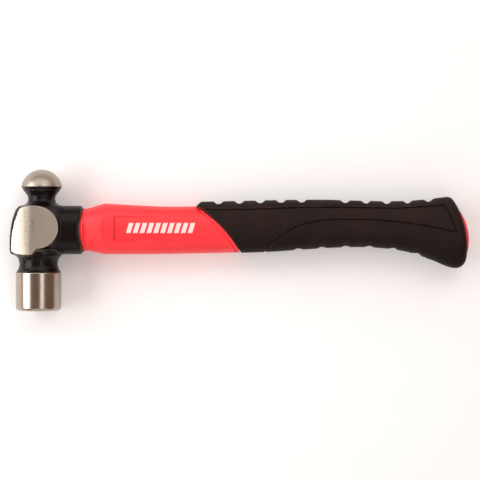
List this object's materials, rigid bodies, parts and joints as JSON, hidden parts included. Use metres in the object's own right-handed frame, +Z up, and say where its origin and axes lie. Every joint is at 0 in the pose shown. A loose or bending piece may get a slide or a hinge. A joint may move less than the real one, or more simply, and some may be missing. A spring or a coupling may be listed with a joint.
{
  "type": "ball peen hammer",
  "caption": "Ball peen hammer with a forged steel head, a glass-fibre core, a red plastic jacket and a black rubber grip.",
  "frame": {"origin": "on the surface that the hammer lies on, under the middle of its bounding box", "axes": "+X from the top of the head to the butt, +Y from the striking face to the peen, +Z up out of the surface"},
  "size_m": [0.3115, 0.0962, 0.031],
  "materials": {
    "steel": "ground and polished faces, black enamel between them",
    "black_plastic": "satin moulded",
    "epoxy": "cast, glossy",
    "fibreglass": "pultruded rod with lengthwise strands",
    "neoprene": "matt",
    "red_plastic": "satin moulded polypropylene",
    "grip_rubber": "matt moulded elastomer"
  },
  "bodies": {
    "root": {"hammer_head": "steel", "eye_cap": "black_plastic", "eye_epoxy": "epoxy", "epoxy_dam": "neoprene", "fiberglass_core": "fibreglass", "handle_jacket": "red_plastic", "rubber_grip": "grip_rubber", "butt_cap": "red_plastic"}
  },
  "joints": []
}
